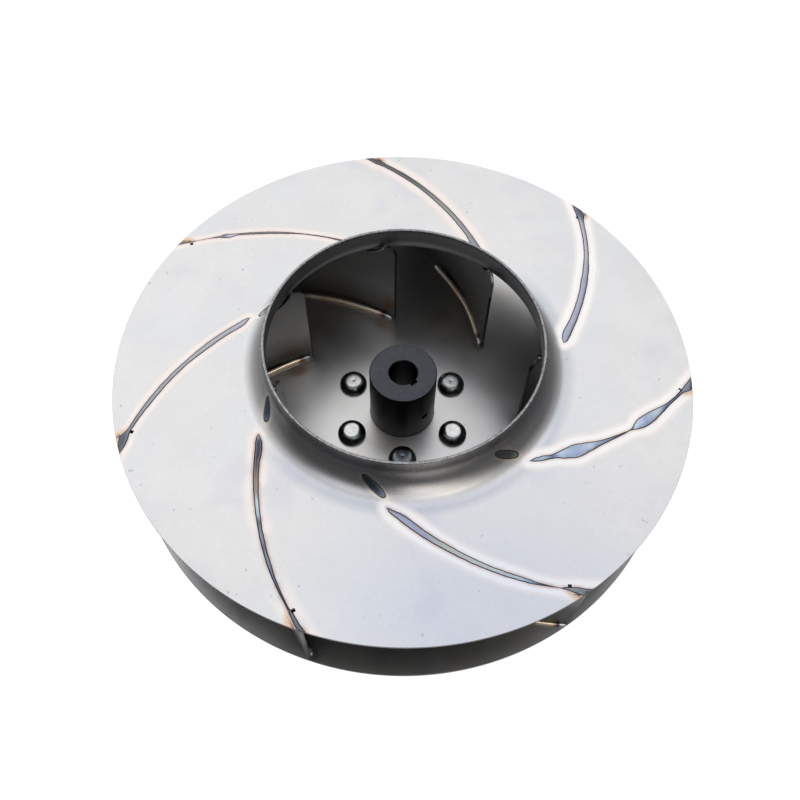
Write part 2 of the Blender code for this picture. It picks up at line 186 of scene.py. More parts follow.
# The fused spot on the fillet over each blade. For either end: degrees round the fillet's centre,
# and mm round the axis from the blade's mid-line. Then its half width in mm, and its colour.
SPOTS = (
    (208, -3.3, 248, 2.4, 2.6, (62, 72, 90)),
    (209, -2.6, 245, 2.6, 2.9, (84, 92, 90)),
    (196, -1.4, 214, -0.7, 2.0, (70, 76, 86)),
    (208, -2.9, 246, 2.0, 2.8, (70, 76, 86)),
    (208, -2.9, 246, 2.0, 2.8, (84, 90, 90)),
    (228, -8.5, 257, 0.4, 2.3, (112, 116, 120)),
    (207, -4.5, 242, 0.4, 2.9, (66, 78, 98)),
)
SPOT_PLACE = 102.0  # mm from the axis to the middle of the spots
SPOT_ROUNDNESS = 2.7  # 2 is an ellipse; more is nearer to a box

# Burns beside the nose beads: blade, mm along its arc, mm outside it, half length, half width, strength
PLATE_BURNS = (
    (0, -24.0, -9.0, 8.0, 3.0, 0.6), (1, -28.0, -9.5, 7.0, 3.0, 0.5), (2, -20.0, -9.0, 9.0, 2.5, 0.4),
    (4, -30.5, -11.5, 12.0, 5.0, 0.62), (4, -1.0, -12.5, 9.0, 2.5, 0.4),
    (5, -23.0, -11.0, 11.0, 4.6, 0.95), (6, -25.0, -9.5, 8.0, 3.0, 0.7),
)
# The same on the blades, with mm above the plate in place of mm outside the arc
BLADE_BURNS = (
    (0, -28.0, 12.0, 6.0, 4.0, 0.6), (1, -30.0, 11.0, 5.0, 5.0, 0.5), (2, -30.0, 12.0, 4.0, 5.0, 0.4),
    (4, -33.0, 17.0, 5.5, 9.0, 1.2), (5, -27.0, 11.5, 9.0, 3.5, 0.5), (6, -29.0, 12.0, 5.0, 5.0, 0.5),
    (5, -26.4, 73.0, 2.0, 4.0, 0.45), (5, -23.0, 68.2, 3.0, 3.0, 0.5), (5, -17.8, 64.0, 4.0, 2.2, 0.5),
    (5, -12.8, 61.6, 4.0, 2.0, 0.4),
)

# Beads at a blade's foot: from and to which radius, points along them, and tint by mm from their start
FOOT_BEADS = {
    "nose": (
        0.0885, 0.141, 130,
        (
            (0, 212, 212, 216), (4.5, 195, 194, 200), (6, 130, 120, 128), (8.5, 120, 94, 84),
            (10, 205, 172, 145), (13, 250, 232, 210), (40, 248, 228, 206), (60, 232, 208, 184),
            (72, 222, 214, 208),
        ),
    ),
    "tail": (
        0.185, 0.1985, 60,
        (
            (0, 240, 205, 165), (3, 255, 240, 215), (13, 255, 236, 205), (15, 190, 140, 110),
            (16.2, 60, 62, 84), (17.2, 90, 95, 120), (18.5, 225, 228, 240), (23, 215, 215, 222),
        ),
    ),
}
# How far three of them wander from the joint: mm along the arc, and mm outside their usual place
WANDER = {
    ("nose", 3): ((-36, 0.3), (5, 0.0), (30, -1.5), (45, -2.0)),
    ("nose", 4): ((-36, 0.0), (-22, -1.2), (-8, -2.2), (20, -3.0), (45, -3.4)),
    ("nose", 5): ((-36, 0.4), (-5, -1.1), (45, -1.1)),
}

# Painted light and shade on each blade and its foot, and on each rivet's top; the colour of each bead in the
# throat
BLADE_TONES = (1.0, 1.0, 1.0, 0.88, 1.25, 0.74, 1.0)
FOOT_TONES = (0.52, 0.52, 0.52, 0.52, 0.42, 0.28, 0.52)
EAR_TONES = (
    (60, 64, 72), (60, 64, 74), (50, 56, 74), (176, 178, 182), (150, 152, 158), (112, 115, 124),
    (40, 42, 46),
)
RIVET_DULLNESS = (0.45, 0.35, 0.1, 0.0, 1.0, 0.0)

# Places along a blade's arc


def rotated(x, y, angle):
    cosine, sine = math.cos(angle), math.sin(angle)
    return cosine * x - sine * y, sine * x + cosine * y


def wrapped(angle):
    """The same angle, within half a turn of zero."""
    return (angle + math.pi) % TURN - math.pi


def arc_angle(radius):
    """Angle about the arc's centre where the mid-line is at a radius from the axis."""
    distance = math.hypot(*ARC_CENTRE)
    squares = distance**2 + ARC_RADIUS**2 - np.square(radius)
    away = np.arccos(np.clip(squares / (2 * distance * ARC_RADIUS), -1, 1))
    return math.atan2(-ARC_CENTRE[1], -ARC_CENTRE[0]) + away


ARC_START = float(arc_angle(0.112))


def along_at(radius):
    """Length along the arc, in mm, at a radius from the axis."""
    return (arc_angle(radius) - ARC_START) * ARC_RADIUS * 1000


def arc_place(along, offset, blade=0):
    """x and y of points given by mm along a blade's arc and mm outside it."""
    angle = ARC_START + np.asarray(along, float) / 1000 / ARC_RADIUS
    radius = ARC_RADIUS + np.asarray(offset, float) / 1000
    x = ARC_CENTRE[0] + radius * np.cos(angle)
    y = ARC_CENTRE[1] + radius * np.sin(angle)
    return rotated(x, y, blade * STEP)


def arc_coordinates(x, y, blade):
    """The reverse of arc_place."""
    x, y = rotated(x, y, -blade * STEP)
    x, y = x - ARC_CENTRE[0], y - ARC_CENTRE[1]
    angle = wrapped(np.arctan2(y, x) - ARC_START)
    return angle * ARC_RADIUS * 1000, (np.hypot(x, y) - ARC_RADIUS) * 1000


def soft(values, width):
    """A running mean that keeps the ends."""
    padded = np.concatenate([np.full(width, values[0]), values, np.full(width, values[-1])])
    kernel = np.hanning(2 * width + 1)
    return np.convolve(padded, kernel / kernel.sum(), "same")[width:-width]


def seam_edges(blade):
    """mm along the arc, and the two edges of the weld there."""
    points = np.array(SEAMS[blade], float)
    points[:, 1:] += SEAM_SHIFT[blade]
    along = np.arange(points[0, 0], 140.0, 0.4)
    outer = np.interp(along, points[:, 0], points[:, 1])
    inner = np.interp(along, points[:, 0], points[:, 2])
    wobble = soft(np.random.default_rng(blade + 11).normal(0, 0.32, along.size), 4)
    tip = (outer[0] + inner[0]) / 2
    outer, inner = soft(outer, 4), soft(inner, 4)
    start = np.clip((along - along[0]) / 2.0, 0, 1)
    start = np.sqrt(1 - (1 - start) ** 2)
    half = (outer - inner) / 2 * start
    middle = (outer + inner) / 2 * start + tip * (1 - start)
    room = np.clip(half, 0, 1)
    return along, middle + half + wobble * room * 0.5, middle - half + wobble[::-1] * room * 0.5


EDGES = [seam_edges(blade) for blade in range(BLADES)]
FOOT_SPANS = [[float(along_at(radius)) for radius in bead[:2]] for bead in FOOT_BEADS.values()]


def edges_at(blade, along):
    """Both edges of a blade's weld, in mm outside the arc."""
    places, outer, inner = EDGES[blade]
    return np.interp(along, places, outer), np.interp(along, places, inner)


def seam_gap(x, y):
    """mm to the nearest weld's edge, how much of the rim's burn shows there, and the weld's number."""
    nearest = np.full(len(x), FAR)
    straw = np.zeros(len(x))
    number = np.zeros(len(x), int)
    for blade, (places, outer, inner) in enumerate(EDGES):
        along, outside = arc_coordinates(x, y, blade)
        high, low = edges_at(blade, along)
        before = places[0] - along
        tip = (outer[0] + inner[0]) / 2
        gap = np.maximum(outside - high, low - outside)
        gap = np.where(before > 0, np.hypot(before, outside - tip), gap)
        number = np.where(gap < nearest, blade + 1, number)
        nearest = np.minimum(nearest, gap)
        reach = np.clip((along - 114) * 0.62, 0.4, None)
        patch = np.clip(1 - (outside - high) / reach, 0, 1) * (outside > high)
        straw = np.maximum(straw, patch * np.clip((along - 117) / 8, 0, 1))
    return nearest, straw, number


def spot_axis(blade):
    """A spot's middle, direction and half length, in mm round the fillet and round the axis."""
    ends = []
    for degrees, offset in (SPOTS[blade][:2], SPOTS[blade][2:4]):
        turn = math.radians(degrees)
        x, y = arc_place(along_at(FILLET[0] + FILLET_OUTSIDE * math.cos(turn)), 0.0)
        ends.append((FILLET_OUTSIDE * 1000 * turn, SPOT_PLACE * math.atan2(y, x) + offset))
    first, last = np.array(ends)
    half_length = float(np.hypot(*(last - first))) / 2
    return (first + last) / 2, (last - first) / 2 / half_length, half_length


def spot_gap(radius, height, x, y, last=1.0):
    """mm to the nearest throat spot's edge, for points of the fillet and of the wall behind it.

    For the last blade's spot the distance is multiplied by last.
    """
    round_fillet = np.arctan2(height - FILLET[1], radius - FILLET[0]) % TURN * FILLET_OUTSIDE * 1000
    nearest = np.full(len(x), FAR)
    for blade in range(BLADES):
        middle, axis, half_length = spot_axis(blade)
        half_width = SPOTS[blade][4]
        down = round_fillet - middle[0]
        sideways = wrapped(np.arctan2(y, x) - blade * STEP - middle[1] / SPOT_PLACE) * SPOT_PLACE
        share = np.abs(down * axis[0] + sideways * axis[1]) / half_length
        across = np.abs(sideways * axis[0] - down * axis[1]) / half_width
        size = (share**SPOT_ROUNDNESS + across**SPOT_ROUNDNESS) ** (1 / SPOT_ROUNDNESS)
        size = np.maximum(size, 1e-3)
        gap = (size - 1) * np.hypot(share * half_length, across * half_width) / size
        nearest = np.minimum(nearest, gap * (last if blade == BLADES - 1 else 1.0))
    return np.where(radius < FILLET[0] - 0.0001, nearest, FAR)


# Meshes


def new_object(name, data, material=None):
    item = bpy.data.objects.new(name, data)
    bpy.context.scene.collection.objects.link(item)
    if material:
        data.materials.clear()
        data.materials.append(material)
    return item


def show(name, mesh, sharp, material, slot, *nodes):
    """A piece that turns with the wheel, in place of CAD nodes, smooth up to an angle in degrees."""
    mesh.shade_smooth()
    mesh.set_sharp_from_angle(angle=math.radians(sharp))
    item = new_object(name, mesh, material)
    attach(item, "root")
    if nodes:
        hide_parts(*nodes)


def edited(mesh, change):
    """The mesh, after a function has changed its shape."""
    shape = bmesh.new()
    shape.from_mesh(mesh)
    change(shape)
    shape.to_mesh(mesh)
    shape.free()
    return mesh


def grid_mesh(name, points, closed_rows=False, closed_columns=False):
    """points[row][column]; a face's front is on the side where rows x columns points."""
    rows, columns = points.shape[:2]
    r = np.arange(rows if closed_rows else rows - 1)
    c = np.arange(columns if closed_columns else columns - 1)
    r, c = (a.ravel() for a in np.meshgrid(r, c, indexing="ij"))
    r2, c2 = (r + 1) % rows, (c + 1) % columns
    faces = np.stack([r * columns + c, r2 * columns + c, r2 * columns + c2, r * columns + c2], 1)
    mesh = bpy.data.meshes.new(name)
    mesh.from_pydata(points.reshape(-1, 3).tolist(), [], faces.tolist())
    return mesh


def turned_mesh(name, outline, steps, closed=True):
    """An outline of (radius, height) points, down its outer side, turned about the axis."""
    angles = np.arange(steps) * TURN / steps
    outline = np.array(outline, float)
    points = np.empty((len(outline), steps, 3))
    points[:, :, 0] = outline[:, :1] * np.cos(angles)
    points[:, :, 1] = outline[:, :1] * np.sin(angles)
    points[:, :, 2] = outline[:, 1:]
    mesh = grid_mesh(name, points, closed_rows=closed, closed_columns=True)
    if closed:
        return mesh
    return edited(mesh, lambda shape: bmesh.ops.remove_doubles(shape, verts=shape.verts, dist=1e-7))


def arc_outline(centre, radius, start, end, steps):
    turns = np.radians(np.linspace(start, end, steps + 1))
    return [(centre[0] + radius * math.cos(t), centre[1] + radius * math.sin(t)) for t in turns]


def rim_outline(high, low, bevel):
    return [(RIM - bevel, high), (RIM, high - bevel), (RIM, low + bevel), (RIM - bevel, low)]


def vertices(mesh):
    data = np.empty(len(mesh.vertices) * 3)
    mesh.vertices.foreach_get("co", data)
    return data.reshape(-1, 3)


def set_values(mesh, **values):
    for name, numbers in values.items():
        layer = mesh.attributes.new(name, "FLOAT", "POINT")
        layer.data.foreach_set("value", np.asarray(numbers, np.float32).ravel())


def set_tint(mesh, colours):
    layer = mesh.attributes.new("tint", "FLOAT_COLOR", "POINT")
    full = np.ones((len(colours), 4), np.float32)
    full[:, :3] = colours
    layer.data.foreach_set("color", full.ravel())


def modified(mesh, changes):
    """A new mesh: the old one after modifiers, each given by its kind and its settings."""
    item = new_object("blank", mesh)
    for number, (kind, settings) in enumerate(changes):
        modifier = item.modifiers.new(f"change_{number}", kind)
        for key, value in settings.items():
            setattr(modifier, key, value)
    bpy.context.view_layer.update()
    result = bpy.data.meshes.new_from_object(item.evaluated_get(bpy.context.evaluated_depsgraph_get()))
    bpy.data.objects.remove(item)
    return result


def cut(mesh, cutters):
    """The mesh with closed cutter meshes taken away."""
    tools = [new_object(f"tool_{number}", cutter) for number, cutter in enumerate(cutters)]
    taking = {"operation": "DIFFERENCE", "solver": "EXACT"}
    result = modified(mesh, [("BOOLEAN", {**taking, "object": tool}) for tool in tools])
    for tool in tools:
        bpy.data.objects.remove(tool)
    return result


def round_cutter(name, radius, low, high, steps, matrix):
    place = matrix @ Matrix.Translation((0, 0, (low + high) / 2))
    size = {"segments": steps, "radius1": radius, "radius2": radius, "depth": high - low}
    mesh = bpy.data.meshes.new(name)
    return edited(mesh, lambda shape: bmesh.ops.create_cone(shape, cap_ends=True, matrix=place, **size))


def box_cutter(name, low, high, matrix):
    low, high = Vector(low), Vector(high)
    place = matrix @ Matrix.Translation((low + high) / 2) @ Matrix.Diagonal((*(high - low), 1))
    mesh = bpy.data.meshes.new(name)
    return edited(mesh, lambda shape: bmesh.ops.create_cube(shape, size=1, matrix=place))


def close_ends(mesh, rows, columns):
    """Caps for a grid whose rows run round a tube."""

    def caps(shape):
        shape.verts.ensure_lookup_table()
        for column, order in ((0, 1), (columns - 1, -1)):
            ring = [shape.verts[row * columns + column] for row in range(rows)]
            shape.faces.new(ring[::order])
        bmesh.ops.recalc_face_normals(shape, faces=shape.faces)

    return edited(mesh, caps)


def lens_mesh(name, top, bottom, inside):
    """A weld from its two sides, with the distance inside its edge."""
    points = np.concatenate([top, bottom])
    mesh = close_ends(grid_mesh(name, points, closed_rows=True), *points.shape[:2])
    set_values(mesh, inside=np.concatenate([inside, np.zeros_like(inside)]))
    return mesh


def tube_mesh(name, centres, radii, sides, normals, flat=1.0):
    """A bead: rings of points round a path; normals point away from the sheet under it."""
    tangents = np.gradient(centres, axis=0)
    tangents /= np.linalg.norm(tangents, axis=1)[:, None]
    normals = normals - (normals * tangents).sum(1)[:, None] * tangents
    normals /= np.linalg.norm(normals, axis=1)[:, None]
    sideways = np.cross(tangents, normals)
    points = np.empty((sides, len(centres), 3))
    for index, turn in enumerate(np.arange(sides) * TURN / sides):
        reach = sideways * math.cos(turn) + normals * math.sin(turn) * flat
        points[index] = centres + reach * radii[:, None]
    return close_ends(grid_mesh(name, points, closed_rows=True), sides, len(centres))


def joined(meshes):
    """One mesh from several, with their points in the same order."""
    return edited(meshes[0], lambda shape: [shape.from_mesh(mesh) for mesh in meshes[1:]])


# Materials


class Nodes:
    """A node tree, and short ways to add its nodes."""

    def __init__(self, tree):
        self.tree = tree

    def set(self, node, socket, value):
        target = node.inputs[socket]
        if isinstance(value, bpy.types.NodeSocket):
            self.tree.links.new(value, target)
        elif target.type == "RGBA" and len(value) == 3:
            target.default_value = (*value, 1)
        else:
            target.default_value = value

    def add(self, kind, settings=None, **sockets):
        node = self.tree.nodes.new(kind)
        for key, value in (settings or {}).items():
            setattr(node, key, value)
        for key, value in sockets.items():
            self.set(node, key, value)
        return node

    def calc(self, operation, *numbers):
        node = self.add("ShaderNodeMath", {"operation": operation})
        for index, value in enumerate(numbers):
            self.set(node, index, value)
        return node.outputs[0]

    def product(self, first, second):
        return self.calc("MULTIPLY", first, second)

    def ramp(self, value, low, high, to_low=0.0, to_high=1.0):
        """A soft step from one value to another."""
        ends = {"From Min": low, "From Max": high, "To Min": to_low, "To Max": to_high}
        node = self.add("ShaderNodeMapRange", {"interpolation_type": "SMOOTHSTEP"}, Value=value, **ends)
        return node.outputs[0]

    def channels(self, red, green, blue):
        return self.add("ShaderNodeCombineColor", Red=red, Green=green, Blue=blue).outputs[0]


class Finish(Nodes):
    """A material, whose base colour is laid down one tone over another."""

    def __init__(self, name, roughness=0.34, metallic=1.0):
        self.material = bpy.data.materials.new(name)
        self.material.use_nodes = True
        super().__init__(self.material.node_tree)
        self.shader = self.tree.nodes["Principled BSDF"]
        self.set(self.shader, "Metallic", metallic)
        self.set(self.shader, "Roughness", roughness)

    def value(self, name, output="Fac"):
        """A value that rides on the mesh."""
        return self.add("ShaderNodeAttribute", {"attribute_name": name}).outputs[output]

    def noise(self, scale, detail=3.0, roughness=0.55, line=None):
        """Noise in space, or along a line."""
        if line is None:
            node = self.add("ShaderNodeTexNoise", Vector=self.add("ShaderNodeTexCoord").outputs["Object"])
        else:
            node = self.add("ShaderNodeTexNoise", {"noise_dimensions": "1D"}, W=line)
        for key, value in (("Scale", scale), ("Detail", detail), ("Roughness", roughness)):
            self.set(node, key, value)
        return node.outputs["Fac"]

    def band(self, value, middle, inner, outer, strength):
        """strength where value is near middle, and nothing farther from it than outer."""
        away = self.calc("ABSOLUTE", self.calc("SUBTRACT", value, middle))
        return self.ramp(away, inner, outer, strength, 0.0)

    def mix(self, factor, first, second, kind="MIX"):
        node = self.add("ShaderNodeMix", {"data_type": "RGBA", "blend_type": kind, "clamp_factor": True})
        for index, value in ((0, factor), (6, first), (7, second)):
            self.set(node, index, value)
        return node.outputs[2]

    def lay(self, amount, tone):
        """A tone over the base colour."""
        self.base = self.mix(amount, self.base, tone)

    def times(self, tone, amount=1.0):
        """A tone multiplied into the base colour."""
        self.base = self.mix(amount, self.base, tone, "MULTIPLY")

    def shade(self, level):
        self.times(self.channels(level, level, level))

    def bump(self, height, strength, distance, under=None):
        node = self.add("ShaderNodeBump", Strength=strength, Distance=distance, Height=height)
        if under is not None:
            self.set(node, "Normal", under)
        return node.outputs[0]

    def done(self, roughness=None, normal=None):
        for socket, value in (("Base Color", self.base), ("Roughness", roughness), ("Normal", normal)):
            if value is not None:
                self.set(self.shader, socket, value)
        return self.material


def lin(channel):
    c = np.asarray(channel, float) / 255
    return np.where(c <= 0.04045, c / 12.92, ((c + 0.055) / 1.055) ** 2.4)


def seen(red, green, blue, factor=1.0):
    """The base colour of a metal that shows as that screen colour under the sky."""
    return tuple(float(c) * factor / SKY for c in lin((red, green, blue)))


def scaled(tone, *factors):
    return tuple(c * k for c, k in zip(tone, factors))


def mottle(finish, tone):
    """Cold-rolled sheet: faint broad clouds, a fine grain, stains and a few specks."""
    broad = finish.ramp(finish.noise(11.0, 3.0, 0.5), 0.35, 0.65)
    finish.base = finish.mix(broad, scaled(tone, 0.975, 0.985, 1.0), scaled(tone, 1.015, 1.0, 0.99))
    finish.shade(finish.ramp(finish.noise(300.0, 4.0, 0.6), 0.3, 0.7, 0.986, 1.012))
    stain = finish.ramp(finish.noise(19.0, 2.0, 0.5), 0.54, 0.70, 0.0, 0.7)
    finish.lay(stain, scaled(tone, 0.91, 0.905, 0.975))
    specks = finish.ramp(finish.noise(190.0, 2.0, 0.5), 0.728, 0.772, 0.0, 0.45)
    finish.lay(specks, scaled(tone, 0.45, 0.45, 0.45))


def sheet_surface(finish, low, high, under=None):
    """Slight unevenness of the gloss, and a fine tooth."""
    normal = finish.bump(finish.noise(1300.0, 2.0, 0.6), 0.05, 0.00006, under)
    return finish.ramp(finish.noise(30.0, 3.0, 0.6), 0.3, 0.7, low, high), normal


def shroud_steel():
    finish = Finish("shroud_sheet_steel")
    mottle(finish, seen(239, 239, 240))
    # Painted reflection: a cooler, darker band on the ring round the foot of the fillet
    finish.times((0.79, 0.82, 0.87), finish.value("cool"))
    # Painted highlight: a warm, lighter pool on the near side of the fillet
    finish.times((1.28, 1.27, 1.24), finish.value("glow"))
    gap, patchy, straw = finish.value("seam_gap"), finish.value("patchy"), finish.value("straw")
    edge = finish.calc("MULTIPLY_ADD", finish.noise(26.0, 2.0, 0.5), -3.2, finish.value("halo_gap"))
    thin = finish.ramp(finish.noise(36.0, 1.0, 0.5), 0.40, 0.54, 0.25, 0.95)
    whole = finish.calc("SUBTRACT", 1.0, finish.product(patchy, thin))
    pale = finish.mix(finish.value("cream"), seen(254, 251, 249, 1.09), seen(253, 244, 240, 1.05))
    finish.lay(finish.product(finish.ramp(edge, 1.9, 6.8, 0.95, 0.0), whole), pale)
    faint = finish.calc("MULTIPLY_ADD", patchy, -0.8, 1.0)
    finish.lay(finish.product(finish.band(edge, 4.2, 0.2, 1.8, 0.4), faint), seen(250, 234, 225, 1.03))
    uneven = finish.ramp(finish.noise(70.0, 3.0, 0.6), 0.36, 0.60, 0.25, 1.0)
    finish.lay(finish.product(finish.band(gap, 0.8, 0.1, 1.0, 0.38), uneven), seen(240, 208, 194))
    scorch = finish.product(finish.ramp(gap, 0.2, 2.6, 0.62, 0.0), finish.value("scorched"))
    finish.lay(finish.product(scorch, uneven), seen(214, 176, 156))
    finish.lay(finish.ramp(straw, 0.02, 0.8, 0.0, 0.85), seen(233, 198, 165))
    finish.lay(finish.ramp(straw, 0.70, 0.98, 0.0, 0.9), seen(110, 82, 74))
    finish.lay(finish.ramp(finish.value("spot_halo"), 0.3, 3.6, 0.8, 0.0), seen(255, 245, 231, 1.22))
    spot = finish.value("spot_gap")
    line = finish.ramp(finish.calc("MINIMUM", gap, spot), 0.05, 0.42, 0.9, 0.0)
    finish.lay(line, seen(62, 64, 70))
    outside, under = finish.base, finish.value("under")
    # Painted shade: the underside and the inside of the collar darker
    finish.times((0.54, 0.56, 0.59))
    # Painted light and shade on the collar's inner wall
    finish.shade(finish.value("wall_tone"))
    finish.lay(finish.product(finish.band(spot, 3.2, 0.2, 1.5, 0.6), uneven), seen(140, 116, 96))
    finish.lay(finish.ramp(spot, -0.5, 2.6, 0.7, 0.0), seen(122, 132, 152))
    finish.base = finish.mix(under, outside, finish.base)
    # Painted shade: the lip greyed, with streaks, which dims its highlight
    worn = finish.ramp(finish.noise(650.0, 3.0, 0.6), 0.35, 0.62)
    finish.lay(finish.value("lip"), finish.mix(worn, seen(140, 140, 141), seen(192, 192, 194)))
    lines = finish.noise(2.6, 4.0, 0.75, line=finish.value("profile"))
    normal = finish.bump(lines, finish.product(finish.value("turned"), 0.2), 0.00012)
    rough, normal = sheet_surface(finish, 0.235, 0.285, normal)
    return finish.done(finish.calc("MULTIPLY_ADD", under, 0.27, rough), normal)


def burn(finish, strength, tone):
    cloud = finish.ramp(finish.noise(90.0, 3.0, 0.6), 0.3, 0.62, 0.7, 1.15)
    finish.lay(finish.ramp(finish.product(finish.value("burn"), cloud), 0.05, 0.9, 0.0, strength), tone)


def plate_steel():
    finish = Finish("plate_sheet_steel")
    mottle(finish, seen(233, 231, 228))
    # Painted shade in the corners beside the foot beads
    finish.lay(finish.ramp(finish.value("foot_gap"), 0.5, 5.0, 0.5, 0.0), seen(150, 146, 140))
    burn(finish, 0.75, seen(196, 148, 110))
    # Painted light and shade, carried by the mesh
    finish.shade(finish.value("shade"))
    return finish.done(*sheet_surface(finish, 0.29, 0.34))


def blade_steel():
    finish = Finish("blade_sheet_steel")
    mottle(finish, seen(192, 194, 196))
    finish.lay(finish.ramp(finish.value("foot_gap"), 0.5, 5.0, 0.3, 0.0), seen(165, 158, 148))
    burn(finish, 0.8, seen(200, 152, 108))
    finish.lay(finish.ramp(finish.value("top_gap"), 0.5, 7.0, 0.25, 0.0), seen(130, 138, 156))
    # Painted shade: a dark line along the nose edge and the top corner, over their highlights
    finish.lay(finish.ramp(finish.value("nose_gap"), 0.15, 1.0, 0.95, 0.0), seen(42, 44, 48))
    # Painted light and shade, carried by the mesh
    finish.shade(finish.value("shade"))
    return finish.done(*sheet_surface(finish, 0.40, 0.46))


def ripples(finish, across, scale, distortion, strength):
    """The scales of a weld, one after another along it."""
    place = finish.add("ShaderNodeCombineXYZ", X=finish.value("along"), Y=across, Z=0.0).outputs[0]
    wave = finish.add(
        "ShaderNodeTexWave", {"wave_type": "BANDS", "bands_direction": "X", "wave_profile": "SIN"},
        Vector=place, Scale=scale, Distortion=distortion, Detail=1.0,
    )
    return finish.bump(wave.outputs["Fac"], strength, 0.00010)


def weld_metal():
    """A fused seam: its tint and the distance from its edge ride on the mesh."""
    finish = Finish("weld_heat_tint", 0.32)
    finish.base = finish.value("tint", "Color")
    inside = finish.value("inside")
    cloud = finish.noise(180.0, 3.0, 0.6)
    finish.lay(finish.ramp(cloud, 0.38, 0.62, 0.12, 0.0), seen(105, 115, 140))
    # Painted highlight: a light line just inside the weld's edge
    finish.lay(finish.band(inside, 0.95, 0.1, 0.45, 0.3), seen(205, 212, 218))
    line = finish.ramp(finish.calc("MULTIPLY_ADD", cloud, 0.3, inside), 0.48, 0.84, 0.95, 0.0)
    finish.lay(line, seen(46, 48, 54))
    return finish.done(normal=ripples(finish, inside, 0.42, 1.4, 0.20))


def bead_metal():
    """A fillet bead laid along the foot of a blade."""
    finish = Finish("weld_bead", 0.35, 0.85)
    finish.base = finish.value("tint", "Color")
    finish.lay(finish.ramp(finish.noise(240.0, 3.0, 0.6), 0.35, 0.6, 0.08, 0.0), seen(160, 130, 105))
    return finish.done(normal=ripples(finish, 0.0, 0.36, 1.0, 0.07))


def blackened_steel():
    finish = Finish("blackened_turned_steel", 0.36)
    grain = finish.ramp(finish.noise(260.0, 4.0, 0.6), 0.35, 0.7)
    finish.base = finish.mix(grain, seen(76, 78, 84), seen(82, 84, 91))
    finish.lay(finish.ramp(finish.noise(150.0, 3.0, 0.6), 0.68, 0.76, 0.0, 0.4), seen(112, 114, 120))
    # Painted shade: the sides darker than the top face, and the bore darker still
    finish.lay(finish.ramp(finish.value("side"), 0.0, 1.0), seen(16, 18, 22))
    finish.lay(finish.value("bore"), seen(18, 18, 20))
    rings = finish.noise(1.9, 3.0, 0.7, line=finish.value("profile"))
    return finish.done(normal=finish.bump(rings, 0.15, 0.00008))


def rivet_steel():
    finish = Finish("rivet_steel", 0.26)
    grain = finish.ramp(finish.noise(420.0, 3.0, 0.6), 0.3, 0.7)
    finish.base = finish.mix(grain, seen(224, 224, 223), seen(248, 248, 246))
    # Painted shade on the tops of some rivets, where they catch less light
    finish.lay(finish.value("dull"), finish.mix(grain, seen(98, 104, 114), seen(132, 138, 146)))
    # Painted shade on the dome's sides, beyond the flat top
    finish.lay(finish.ramp(finish.value("from_middle"), 5.3, 6.6), seen(128, 134, 132))
    return finish.done(normal=finish.bump(finish.noise(500.0, 2.0, 0.5), 0.06, 0.00006))


def screw_steel():
    finish = Finish("screw_steel", 0.35)
    finish.base = finish.mix(finish.ramp(finish.noise(600.0), 0.3, 0.7), seen(74, 74, 78), seen(98, 98, 102))
    return finish.done()


# Pieces


def shroud_outline():
    lip = 0.00045
    wall = THROAT + SHEET
    outline = arc_outline((wall - lip, COLLAR_TOP - lip), lip, 90, 0, 3)
    outline += [(wall, z) for z in np.linspace(COLLAR_TOP - 0.002, FILLET[1] + 0.0015, 4)]
    outline += arc_outline(FILLET, FILLET_OUTSIDE, 180, 270, 26)
    outline += [(r, DECK) for r in np.arange(0.1154, RIM - 0.0010, 0.0015)]
    outline += rim_outline(DECK, UNDERSIDE, 0.00015)
    outline += [(r, UNDERSIDE) for r in np.linspace(RIM - 0.003, FILLET[0] + 0.003, 28)]
    outline += arc_outline(FILLET, FILLET_OUTSIDE + SHEET, 270, 180, 12)
    outline += [(THROAT, COLLAR_TOP - 0.003), (THROAT, COLLAR_TOP - lip)]
    return outline + arc_outline((THROAT + lip, COLLAR_TOP - lip), lip, 150, 90, 2)


def notch_cutters():
    cutters = []
    half, deep = 0.0012, 0.005
    for blade, (radius, offset) in enumerate(NOTCHES):
        along = float(along_at(radius / 1000))
        turn = ARC_START + along / 1000 / ARC_RADIUS + blade * STEP
        place = Matrix.Translation((*arc_place(along, offset, blade), DECK)) @ Matrix.Rotation(turn, 4, "Z")
        cutters.append(box_cutter(f"notch_{blade}", (-half, -half, -deep), (half, half, deep), place))
    return cutters


